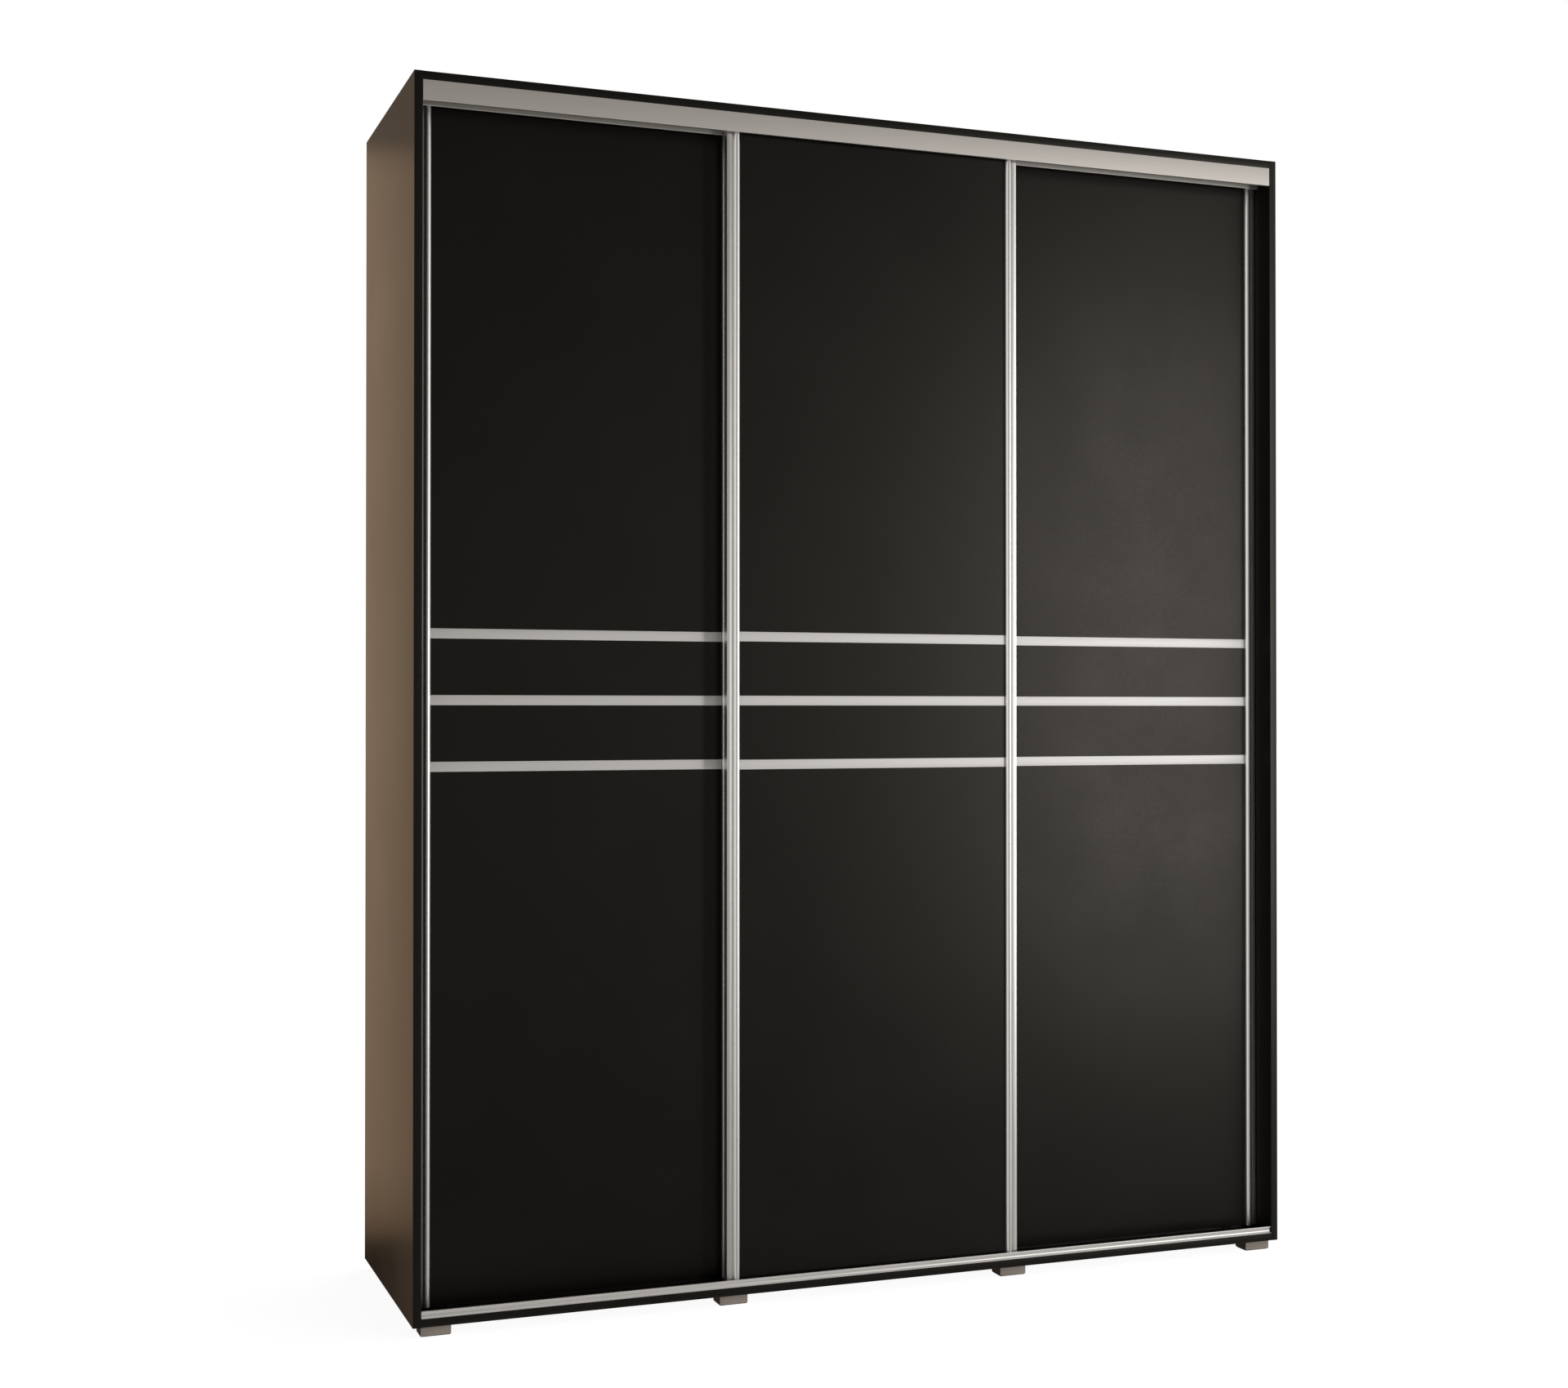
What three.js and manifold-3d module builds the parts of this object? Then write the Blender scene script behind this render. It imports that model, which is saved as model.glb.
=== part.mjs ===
// Sliding door wardrobe: a board carcass on block feet, and three doors that run on two
// aluminium tracks. Units are millimetres and +Z is up. X runs along the front, the front
// plane faces -Y, the floor is Z = 0, and the origin is at the centre of the footprint.
import * as THREE from 'three';
import { mergeVertices } from 'three/addons/utils/BufferGeometryUtils.js';
import Module from 'manifold-3d';

const wasm = await Module();
wasm.setup();

// ---------------------------------------------------------------- driving dimensions
const WIDTH = 1870;
const DEPTH = 540;
const HEIGHT = 2352;
const BOARD = 16;
const BACK_THICKNESS = 3;
const BACK_INSET = 2;
const FOOT = { width: 58, depth: 40, height: 20, setback: 10, outerX: 890, innerX: 304, chamfer: 2 };

const DOOR_OVERLAP = 30;
const DOOR_BOTTOM = 42;
const DOOR_TOP = 2308;
const REAR_TRACK_OFFSET = 42;

const STILE_WIDTH = 26;
const FLANGE_FRONT = 15.8;
const FLANGE_WIDTH = 10.9;
const BEAD_PROUD = 7.8;
const PANEL_FACE = 17.2;
const PANEL_BACK = PANEL_FACE + BOARD;
const STILE_WALL = 1.4;
const STILE_CLEARANCE = 0.3;

const STRIP = { height: 19, thickness: 0.8, middle: 1182, pitch: 126, endGap: 0.8, edge: 0.25 };

const TRACK_WALL = 1.6;
const TRACK_END_GAP = 0.5;
const FASCIA_HEIGHT = 38;
const WEB_HEIGHT = 35.5;
const TRACK_DEPTH = 87.6;
const RAIL = { width: 3, top: 4.5, base: 1.5 };

const WHEEL = { tread: 14, flange: 16, bore: 3.35, halfWidth: 4, inset: 90, segments: 24 };
const WHEEL_PLANE = 27.2;
const WHEEL_GAP = 0.3;
const AXLE_RADIUS = 3;

const GUIDE = { radius: 18, axle: 4, bore: 4.4, inset: 60, depth: 22, segments: 20 };

const PARTITION_SETBACK = 92;
const SHELF_SETBACK = 8;
const SHELF_GAP = 1;
const HAT_SHELF_Z = 2052;
const RAIL_TUBE = { height: 30, depth: 15, wall: 1.5, drop: 62 };
const RAIL_COLLAR = { height: 42, depth: 27, length: 8 };

// ---------------------------------------------------------------- derived places
const FRONT = -DEPTH / 2;
const BOARD_REAR = DEPTH / 2 - BACK_THICKNESS;
const INNER_X = WIDTH / 2 - BOARD;
const CARCASS_BOTTOM = FOOT.height;
const FLOOR = CARCASS_BOTTOM + BOARD;
const CEILING = HEIGHT - BOARD;
const BAY = (2 * INNER_X - 2 * BOARD) / 3;
const PARTITION_X = (BAY + BOARD) / 2;
const DOOR_HALF = (BAY + DOOR_OVERLAP) / 2;
const AXLE_Z = FLOOR + RAIL.top + WHEEL_GAP + WHEEL.tread;
const PANEL_CENTRE = PANEL_FACE + BOARD / 2;

// ---------------------------------------------------------------- materials
const finishes = {
  laminate: { color: 0x23211f, roughness: 0.42, metalness: 0 },
  hardboard: { color: 0x3a3531, roughness: 0.75, metalness: 0 },
  aluminium: { color: 0xb9b5b0, roughness: 0.35, metalness: 0.9 },
  footPlastic: { color: 0x7d756c, roughness: 0.6, metalness: 0 },
  steel: { color: 0x9a9c9e, roughness: 0.4, metalness: 0.9 },
  nylon: { color: 0x2a2927, roughness: 0.5, metalness: 0 },
  chrome: { color: 0xd5d7da, roughness: 0.12, metalness: 1 },
};

const wardrobe = new THREE.Group();

function addMesh(parent, name, geometry, finish) {
  const mesh = new THREE.Mesh(geometry, new THREE.MeshStandardMaterial(finishes[finish]));
  mesh.name = name;
  parent.add(mesh);
  return mesh;
}

// ---------------------------------------------------------------- shape helpers
const AXIS_X = new THREE.Vector3(1, 0, 0);
const AXIS_Y = new THREE.Vector3(0, 1, 0);
const AXIS_Z = new THREE.Vector3(0, 0, 1);

// A box from its low corner to its high corner.
function box(low, high) {
  const size = high.map((value, i) => value - low[i]);
  const geometry = new THREE.BoxGeometry(...size);
  return geometry.translate(...low.map((value, i) => value + size[i] / 2));
}

// A closed outline with holes, put in the order that ExtrudeGeometry expects.
function outline(points, holes = []) {
  const toVectors = (pairs) => pairs.map(([a, b]) => new THREE.Vector2(a, b));
  const outer = toVectors(points);
  if (THREE.ShapeUtils.isClockWise(outer)) {
    outer.reverse();
  }
  const shape = new THREE.Shape(outer);
  shape.holes = holes.map((hole) => new THREE.Path(toVectors(hole)));
  return shape;
}

// A profile drawn in X and Y, raised from z0 to z1.
function raise(shape, z0, z1) {
  return new THREE.ExtrudeGeometry(shape, { depth: z1 - z0, bevelEnabled: false }).translate(0, 0, z0);
}

// A profile drawn in Y and Z, drawn out from x0 to x1.
function drawAlongX(shape, x0, x1) {
  const geometry = new THREE.ExtrudeGeometry(shape, { depth: x1 - x0, bevelEnabled: false });
  geometry.applyMatrix4(new THREE.Matrix4().makeBasis(AXIS_Y, AXIS_Z, AXIS_X));
  return geometry.translate(x0, 0, 0);
}

// A profile of [radius, height] pairs turned about Y, as LatheGeometry does.
function turn(points, segments) {
  return new THREE.LatheGeometry(points.map(([r, h]) => new THREE.Vector2(r, h)), segments);
}

// Points on an elliptical arc, both ends included.
function arc(centreA, centreB, radiusA, radiusB, start, end, steps) {
  const points = [];
  for (let i = 0; i <= steps; i += 1) {
    const angle = start + ((end - start) * i) / steps;
    points.push([centreA + radiusA * Math.cos(angle), centreB + radiusB * Math.sin(angle)]);
  }
  return points;
}

// An upright oval: two half circles joined by straight sides.
function oval(width, height, centreY, centreZ, steps = 8) {
  const r = width / 2;
  const straight = height / 2 - r;
  return [
    ...arc(centreY, centreZ + straight, r, r, 0, Math.PI, steps),
    ...arc(centreY, centreZ - straight, r, r, Math.PI, 2 * Math.PI, steps),
  ];
}

function toSolid(geometry) {
  const bare = geometry.clone();
  bare.deleteAttribute('normal');
  bare.deleteAttribute('uv');
  const merged = mergeVertices(bare);
  const vertProperties = new Float32Array(merged.attributes.position.array);
  const triVerts = new Uint32Array(merged.index.array);
  return new wasm.Manifold(new wasm.Mesh({ numProp: 3, vertProperties, triVerts }));
}

function toGeometry(solid) {
  const { vertProperties, triVerts } = solid.getMesh();
  const geometry = new THREE.BufferGeometry();
  geometry.setAttribute('position', new THREE.BufferAttribute(new Float32Array(vertProperties), 3));
  geometry.setIndex(new THREE.BufferAttribute(new Uint32Array(triVerts), 1));
  geometry.computeVertexNormals();
  return geometry;
}

// ---------------------------------------------------------------- carcass
function addCarcass() {
  for (const [side, sign] of [['left', -1], ['right', 1]]) {
    const xs = [sign * INNER_X, (sign * WIDTH) / 2].sort((a, b) => a - b);
    const panel = box([xs[0], FRONT, CARCASS_BOTTOM], [xs[1], BOARD_REAR, HEIGHT]);
    addMesh(wardrobe, `side_panel_${side}`, panel, 'laminate');

    const centre = sign * PARTITION_X;
    const low = [centre - BOARD / 2, FRONT + PARTITION_SETBACK, FLOOR];
    const high = [centre + BOARD / 2, BOARD_REAR, CEILING];
    addMesh(wardrobe, `partition_${side}`, box(low, high), 'laminate');
  }
  const topPanel = box([-INNER_X, FRONT, CEILING], [INNER_X, BOARD_REAR, HEIGHT]);
  addMesh(wardrobe, 'top_panel', topPanel, 'laminate');
  const bottomPanel = box([-INNER_X, FRONT, CARCASS_BOTTOM], [INNER_X, BOARD_REAR, FLOOR]);
  addMesh(wardrobe, 'bottom_panel', bottomPanel, 'laminate');
}

// One sheet of hardboard in three leaves, folded for packing along two grooves in its rear face.
function addBackPanel() {
  const half = WIDTH / 2 - BACK_INSET;
  const rear = DEPTH / 2;
  const fold = { width: 2, depth: 1.4 };
  const foldNotch = (x) => [
    [x + fold.width / 2, rear],
    [x, rear - fold.depth],
    [x - fold.width / 2, rear],
  ];
  const sheet = outline([
    [-half, BOARD_REAR],
    [half, BOARD_REAR],
    [half, rear],
    ...foldNotch(PARTITION_X),
    ...foldNotch(-PARTITION_X),
    [-half, rear],
  ]);
  addMesh(wardrobe, 'back_panel', raise(sheet, CARCASS_BOTTOM + BACK_INSET, HEIGHT - BACK_INSET), 'hardboard');
}

function addFeet() {
  const a = FOOT.width / 2;
  const b = FOOT.depth / 2;
  const c = FOOT.chamfer;
  const block = outline([
    [-a + c, -b], [a - c, -b], [a, -b + c], [a, b - c],
    [a - c, b], [-a + c, b], [-a, b - c], [-a, -b + c],
  ]);
  const columns = [
    ['left', -FOOT.outerX], ['mid_left', -FOOT.innerX], ['mid_right', FOOT.innerX], ['right', FOOT.outerX],
  ];
  const rowY = DEPTH / 2 - FOOT.setback - b;
  for (const [row, y] of [['front', -rowY], ['back', rowY]]) {
    for (const [column, x] of columns) {
      const foot = addMesh(wardrobe, `foot_${row}_${column}`, raise(block, 0, FOOT.height), 'footPlastic');
      foot.position.set(x, y, 0);
    }
  }
}

// ---------------------------------------------------------------- inside
function addShelf(name, x0, x1, z) {
  const low = [x0 + SHELF_GAP, FRONT + PARTITION_SETBACK + SHELF_SETBACK, z];
  const high = [x1 - SHELF_GAP, BOARD_REAR - SHELF_GAP, z + BOARD];
  addMesh(wardrobe, name, box(low, high), 'laminate');
}

// An oval tube with a collar at each end, open right through.
function addHangingRail(name, x0, x1) {
  const z = HAT_SHELF_Z - RAIL_TUBE.drop;
  const y = (FRONT + PARTITION_SETBACK + BOARD_REAR) / 2;
  const { height, depth, wall } = RAIL_TUBE;
  const tubeShape = outline(oval(depth, height, y, z), [oval(depth - 2 * wall, height - 2 * wall, y, z)]);
  const collarShape = outline(
    oval(RAIL_COLLAR.depth, RAIL_COLLAR.height, y, z),
    [oval(depth - wall, height - wall, y, z)],
  );
  const solid = toSolid(drawAlongX(tubeShape, x0, x1))
    .add(toSolid(drawAlongX(collarShape, x0, x0 + RAIL_COLLAR.length)))
    .add(toSolid(drawAlongX(collarShape, x1 - RAIL_COLLAR.length, x1)));
  addMesh(wardrobe, name, toGeometry(solid), 'chrome');
}

function addInside() {
  const inner = PARTITION_X - BOARD / 2;
  const outer = PARTITION_X + BOARD / 2;
  addShelf('hat_shelf_left', -INNER_X, -outer, HAT_SHELF_Z);
  addShelf('hat_shelf_right', outer, INNER_X, HAT_SHELF_Z);
  addHangingRail('hanging_rail_left', -INNER_X, -outer);
  addHangingRail('hanging_rail_right', outer, INNER_X);

  const names = ['lower', 'centre', 'upper'];
  const space = (CEILING - FLOOR - names.length * BOARD) / (names.length + 1);
  names.forEach((name, i) => {
    addShelf(`mid_shelf_${name}`, -inner, inner, FLOOR + space * (i + 1) + BOARD * i);
  });
}

// ---------------------------------------------------------------- tracks
// The top track is one extrusion: a boxed fascia, a boxed middle web and a rear web under a plate.
function addTopTrack() {
  const fasciaBottom = CEILING - FASCIA_HEIGHT;
  const webBottom = CEILING - WEB_HEIGHT;
  const under = CEILING - TRACK_WALL;
  const guideGap = 0.8;
  const reach = GUIDE.radius + guideGap;
  const fasciaBack = PANEL_CENTRE - reach;
  const webFront = 44;
  const webBack = PANEL_CENTRE + REAR_TRACK_OFFSET - reach;
  const rearWeb = TRACK_DEPTH - TRACK_WALL;
  const boxed = (d0, d1, bottom) => [
    [FRONT + d0 + TRACK_WALL, bottom + TRACK_WALL],
    [FRONT + d1 - TRACK_WALL, bottom + TRACK_WALL],
    [FRONT + d1 - TRACK_WALL, under],
    [FRONT + d0 + TRACK_WALL, under],
  ];
  const shape = outline([
    [FRONT, fasciaBottom],
    [FRONT + fasciaBack, fasciaBottom],
    [FRONT + fasciaBack, under],
    [FRONT + webFront, under],
    [FRONT + webFront, webBottom],
    [FRONT + webBack, webBottom],
    [FRONT + webBack, under],
    [FRONT + rearWeb, under],
    [FRONT + rearWeb, webBottom],
    [FRONT + TRACK_DEPTH, webBottom],
    [FRONT + TRACK_DEPTH, CEILING],
    [FRONT, CEILING],
  ], [boxed(0, fasciaBack, fasciaBottom), boxed(webFront, webBack, webBottom)]);
  const end = INNER_X - TRACK_END_GAP;
  addMesh(wardrobe, 'top_track', drawAlongX(shape, -end, end), 'aluminium');
}

// The bottom track is one extrusion: a coved front lip with a bead on top, a thin base,
// one raised rail for each row of wheels and a low rear lip.
function addBottomTrack() {
  const lip = { foot: 0.8, neck: 4.4, coveTop: 6, faceTop: 10.8, front: 2.4, top: 13.4, back: 6.2 };
  const rearLip = 8;
  const corner = 0.5;
  const rail = (offset) => {
    const centre = WHEEL_PLANE + offset;
    const half = RAIL.width / 2;
    return [
      [centre - half, RAIL.base],
      [centre - half, RAIL.top - corner],
      [centre - half + corner, RAIL.top],
      [centre + half - corner, RAIL.top],
      [centre + half, RAIL.top - corner],
      [centre + half, RAIL.base],
    ];
  };
  const cove = arc(0, lip.coveTop, lip.neck, lip.coveTop - lip.foot, -Math.PI / 2, 0, 5);
  const profile = [
    [0, 0],
    ...cove,
    [lip.neck - 1.2, lip.faceTop],
    [lip.neck - 0.2, lip.faceTop + 0.3],
    [lip.front, lip.faceTop + 0.8],
    [lip.front, lip.top - corner],
    [lip.front + corner, lip.top],
    [lip.back - corner, lip.top],
    [lip.back, lip.top - corner],
    [lip.back, RAIL.base],
    ...rail(0),
    ...rail(REAR_TRACK_OFFSET),
    [TRACK_DEPTH - TRACK_WALL, RAIL.base],
    [TRACK_DEPTH - TRACK_WALL, rearLip],
    [TRACK_DEPTH, rearLip],
    [TRACK_DEPTH, 0],
  ].map(([depth, height]) => [FRONT + depth, FLOOR + height]);
  const end = INNER_X - TRACK_END_GAP;
  addMesh(wardrobe, 'bottom_track', drawAlongX(outline(profile), -end, end), 'aluminium');
}

// ---------------------------------------------------------------- doors
// In a door's group, X is measured from the door's centre and Y from the front plane of the
// carcass, so a door on the rear track is the same door moved back.

// The aluminium stile: a hollow half-round bead beside a flat flange, on a channel that wraps
// the edge of the panel. inward is +1 where the bead lies towards +X.
function stileShape(edgeX, inward) {
  const place = ([u, d]) => [edgeX + inward * u, d];
  const groove = 0.6;
  const beadStart = FLANGE_WIDTH + groove;
  const beadHalf = (STILE_WIDTH - beadStart) / 2;
  const beadCentre = beadStart + beadHalf;
  const channelFront = PANEL_FACE - 0.2;
  const channelBack = PANEL_BACK + STILE_CLEARANCE;
  const backReach = 20;
  const bead = arc(beadCentre, FLANGE_FRONT, beadHalf, BEAD_PROUD, -Math.PI, 0, 16);
  const chamber = arc(beadCentre, FLANGE_FRONT, beadHalf - 1.3, BEAD_PROUD - 1.3, -Math.PI, 0, 12);
  return outline([
    [0, FLANGE_FRONT],
    [FLANGE_WIDTH, FLANGE_FRONT],
    [FLANGE_WIDTH, FLANGE_FRONT + 0.7],
    [beadStart, FLANGE_FRONT + 0.7],
    ...bead,
    [STILE_WIDTH, channelFront],
    [STILE_WALL, channelFront],
    [STILE_WALL, channelBack],
    [backReach, channelBack],
    [backReach, channelBack + STILE_WALL],
    [0, channelBack + STILE_WALL],
  ].map(place), [chamber.map(place)]);
}

// The board, with a pocket for each wheel carriage and a bore for each guide roller.
function doorPanel(carriage) {
  const half = DOOR_HALF - STILE_WALL - STILE_CLEARANCE;
  let solid = toSolid(box([-half, PANEL_FACE, DOOR_BOTTOM], [half, PANEL_BACK, DOOR_TOP]));
  for (const sign of [-1, 1]) {
    const x = sign * (DOOR_HALF - WHEEL.inset);
    const gap = 0.5;
    const low = [x - carriage.halfWidth - gap, carriage.front - gap, DOOR_BOTTOM - 1];
    const high = [x + carriage.halfWidth + gap, PANEL_BACK + 1, carriage.top + gap];
    solid = solid.subtract(toSolid(box(low, high)));

    const boreDepth = GUIDE.depth + 2;
    const bore = new THREE.CylinderGeometry(GUIDE.bore, GUIDE.bore, boreDepth + 1, GUIDE.segments);
    bore.rotateX(Math.PI / 2);
    bore.translate(sign * (DOOR_HALF - GUIDE.inset), PANEL_CENTRE, DOOR_TOP - (boreDepth - 1) / 2);
    solid = solid.subtract(toSolid(bore));
  }
  return toGeometry(solid);
}

// The carriage: a block in the panel's pocket with two cheeks, the wheel's axle between them,
// and a plate that is screwed to the rear of the panel.
function carriageGeometry(carriage) {
  const plate = { halfWidth: 44, bottom: 60, top: 104, front: PANEL_BACK + 0.3, back: PANEL_BACK + 1.8 };
  const slot = { halfWidth: 18.5, halfDepth: WHEEL.halfWidth + WHEEL_GAP, top: AXLE_Z + WHEEL.flange + 4 };
  const body = box(
    [-carriage.halfWidth, carriage.front, carriage.bottom],
    [carriage.halfWidth, plate.front + 0.5, carriage.top],
  );
  const well = box(
    [-slot.halfWidth, WHEEL_PLANE - slot.halfDepth, carriage.bottom - 1],
    [slot.halfWidth, WHEEL_PLANE + slot.halfDepth, slot.top],
  );
  const axle = new THREE.CylinderGeometry(AXLE_RADIUS, AXLE_RADIUS, 2 * slot.halfDepth + 1, 20);
  axle.translate(0, WHEEL_PLANE, AXLE_Z);
  const backPlate = box(
    [-plate.halfWidth, plate.front, plate.bottom],
    [plate.halfWidth, plate.back, plate.top],
  );
  return toGeometry(
    toSolid(body).subtract(toSolid(well)).add(toSolid(axle)).add(toSolid(backPlate)),
  );
}

// The wheel, turned about Y: a groove between two flanges, round the rail of the track.
function wheelGeometry() {
  const { tread, flange, bore, halfWidth, segments } = WHEEL;
  const grooveMouth = 2.6;
  const grooveBed = 1.8;
  return turn([
    [bore, -halfWidth],
    [flange, -halfWidth],
    [flange, -grooveMouth],
    [tread, -grooveBed],
    [tread, grooveBed],
    [flange, grooveMouth],
    [flange, halfWidth],
    [bore, halfWidth],
    [bore, -halfWidth],
  ], segments);
}

// The guide roller and its stub axle, which turns in the bore in the panel's top edge.
function guideRollerGeometry() {
  const { radius, axle, depth, segments } = GUIDE;
  const shoulder = { radius: 7, bottom: 1.5, top: 3 };
  const edge = 1;
  const thickness = 10;
  const geometry = turn([
    [0, -depth],
    [axle, -depth],
    [axle, shoulder.bottom],
    [shoulder.radius, shoulder.bottom],
    [shoulder.radius, shoulder.top],
    [radius - edge, shoulder.top],
    [radius, shoulder.top + edge],
    [radius, shoulder.top + thickness - edge],
    [radius - edge, shoulder.top + thickness],
    [0, shoulder.top + thickness],
  ], segments);
  const turnUpright = new THREE.Matrix4().makeBasis(AXIS_X, AXIS_Z, AXIS_Y.clone().negate());
  return geometry.applyMatrix4(turnUpright);
}

// A flat aluminium strip with slightly eased long edges.
function stripGeometry() {
  const front = PANEL_FACE - STRIP.thickness;
  const half = STRIP.height / 2;
  const { edge } = STRIP;
  const section = outline([
    [PANEL_FACE, -half], [PANEL_FACE, half], [front + edge, half], [front, half - edge],
    [front, -half + edge], [front + edge, -half],
  ]);
  const end = DOOR_HALF - STILE_WIDTH - STRIP.endGap;
  return drawAlongX(section, -end, end);
}

function addDoor(door, x, trackOffset) {
  const group = new THREE.Group();
  group.position.set(x, FRONT + trackOffset, 0);
  wardrobe.add(group);

  const carriage = {
    halfWidth: 34, front: PANEL_FACE + 4.4, bottom: DOOR_BOTTOM + 2, top: DOOR_BOTTOM + 52,
  };
  addMesh(group, `${door}_door_panel`, doorPanel(carriage), 'laminate');

  for (const [side, sign] of [['left', -1], ['right', 1]]) {
    const stile = raise(stileShape(sign * DOOR_HALF, -sign), DOOR_BOTTOM, DOOR_TOP);
    addMesh(group, `${door}_door_${side}_stile`, stile, 'aluminium');

    const wheelX = sign * (DOOR_HALF - WHEEL.inset);
    const holder = addMesh(group, `${door}_door_${side}_carriage`, carriageGeometry(carriage), 'steel');
    holder.position.set(wheelX, 0, 0);
    const wheel = addMesh(group, `${door}_door_${side}_wheel`, wheelGeometry(), 'nylon');
    wheel.position.set(wheelX, WHEEL_PLANE, AXLE_Z);

    const roller = addMesh(group, `${door}_door_${side}_guide_roller`, guideRollerGeometry(), 'nylon');
    roller.position.set(sign * (DOOR_HALF - GUIDE.inset), PANEL_CENTRE, DOOR_TOP);
  }

  for (const [level, step] of [['bottom', -1], ['middle', 0], ['top', 1]]) {
    const strip = addMesh(group, `${door}_door_strip_${level}`, stripGeometry(), 'aluminium');
    strip.position.set(0, 0, STRIP.middle + step * STRIP.pitch);
  }
}

// ---------------------------------------------------------------- assembly
addCarcass();
addBackPanel();
addFeet();
addInside();
addTopTrack();
addBottomTrack();
addDoor('left', -BAY, REAR_TRACK_OFFSET);
addDoor('middle', 0, 0);
addDoor('right', BAY, REAR_TRACK_OFFSET);

export default wardrobe;
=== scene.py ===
"""The looks of the sliding door wardrobe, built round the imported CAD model. Units are metres."""

import math

import bmesh
import bpy
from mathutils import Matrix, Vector


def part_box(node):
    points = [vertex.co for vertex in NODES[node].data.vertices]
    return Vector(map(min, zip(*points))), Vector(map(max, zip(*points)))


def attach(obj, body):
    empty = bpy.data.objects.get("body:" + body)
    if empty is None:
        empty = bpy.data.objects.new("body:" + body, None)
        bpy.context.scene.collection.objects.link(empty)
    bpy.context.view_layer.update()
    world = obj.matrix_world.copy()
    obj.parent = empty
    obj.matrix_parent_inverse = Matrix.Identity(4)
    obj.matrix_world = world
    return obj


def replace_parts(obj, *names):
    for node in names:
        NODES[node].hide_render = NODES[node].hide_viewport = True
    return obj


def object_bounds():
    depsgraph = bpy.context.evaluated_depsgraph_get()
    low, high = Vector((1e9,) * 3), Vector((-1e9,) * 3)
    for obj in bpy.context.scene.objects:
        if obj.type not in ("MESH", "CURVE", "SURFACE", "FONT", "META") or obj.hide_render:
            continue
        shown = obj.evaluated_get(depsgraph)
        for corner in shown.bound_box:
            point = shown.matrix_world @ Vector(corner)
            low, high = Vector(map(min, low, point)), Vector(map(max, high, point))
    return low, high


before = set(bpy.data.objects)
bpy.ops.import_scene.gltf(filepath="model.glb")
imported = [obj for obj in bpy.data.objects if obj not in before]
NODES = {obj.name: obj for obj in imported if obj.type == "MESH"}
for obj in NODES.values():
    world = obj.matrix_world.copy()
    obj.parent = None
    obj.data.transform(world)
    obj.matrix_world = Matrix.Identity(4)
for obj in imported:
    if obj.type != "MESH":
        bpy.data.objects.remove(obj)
CAD_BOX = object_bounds()
MM = 0.001
DOORS = ("left", "middle", "right")
SIDES = (("left", -1), ("right", 1))


# ---------------------------------------------------------------- camera, floor and light
# What reflections see on each side of the room, by the height of their direction: -1 is down and 1 is up.
FRONT_ROOM = (
    (-1.00, (1.20, 1.19, 1.17)), (-0.62, (1.10, 1.08, 1.05)), (-0.42, (0.16, 0.14, 0.12)),
    (-0.24, (0.10, 0.085, 0.07)), (-0.08, (0.37, 0.352, 0.33)), (0.02, (0.45, 0.435, 0.41)),
    (0.12, (0.34, 0.32, 0.295)), (0.25, (0.15, 0.128, 0.107)), (0.50, (0.10, 0.085, 0.07)),
    (1.00, (0.80, 0.78, 0.75)),
)
BACK_ROOM = (
    (-1.00, (0.02, 0.017, 0.013)), (-0.249, (0.025, 0.018, 0.013)), (-0.241, (0.06, 0.042, 0.027)),
    (-0.236, (0.20, 0.13, 0.08)), (-0.226, (0.34, 0.225, 0.14)), (-0.205, (0.46, 0.31, 0.195)),
    (-0.10, (0.53, 0.365, 0.235)), (0.00, (0.59, 0.42, 0.27)), (0.20, (0.56, 0.395, 0.26)),
    (0.248, (0.50, 0.355, 0.235)), (0.256, (0.20, 0.15, 0.115)), (0.45, (0.14, 0.12, 0.10)),
    (1.00, (0.42, 0.41, 0.40)),
)
# Towards the left, the back of the room falls to this tone.
BACK_LEFT_CORNER = (0.24, 0.165, 0.11)
LEFT_ROOM = (
    (-1.00, (0.40, 0.39, 0.37)), (-0.28, (0.30, 0.29, 0.27)), (-0.12, (1.20, 1.18, 1.15)),
    (0.14, (1.20, 1.18, 1.15)), (0.30, (0.75, 0.73, 0.70)), (1.00, (0.30, 0.29, 0.28)),
)
RIGHT_ROOM = (
    (-1.00, (0.30, 0.29, 0.28)), (-0.28, (0.22, 0.21, 0.20)), (-0.12, (1.30, 1.29, 1.27)),
    (0.14, (1.30, 1.29, 1.27)), (0.30, (0.70, 0.69, 0.67)), (1.00, (0.40, 0.39, 0.38)),
)
# Where each side takes over, by the X or Y of a reflection's direction: not yet, and fully.
BACK_FROM_Y = (-0.1, 0.3)
BACK_LEFT_FROM_X = (-0.164, -0.196)
LEFT_FROM_X = (-0.28, -0.60)
RIGHT_FROM_X = (0.42, 0.80)

CAMERA_PLACE = (-1.662, -4.160, 1.162)
CAMERA_YAW = math.radians(20.562)
CAMERA_PITCH = math.radians(0.454)
CAMERA_LENS = 48.35


def add_camera():
    """Seen from the front left. The yaw turns it to the right from +Y, and the pitch tips it up."""
    data = bpy.data.cameras.new("camera")
    data.sensor_width = 36
    data.lens = CAMERA_LENS
    camera = bpy.data.objects.new("camera", data)
    bpy.context.scene.collection.objects.link(camera)
    level = math.cos(CAMERA_PITCH)
    aim = Vector((math.sin(CAMERA_YAW) * level, math.cos(CAMERA_YAW) * level, math.sin(CAMERA_PITCH)))
    camera.location = CAMERA_PLACE
    camera.rotation_euler = aim.to_track_quat("-Z", "Y").to_euler()
    bpy.context.scene.camera = camera


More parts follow.
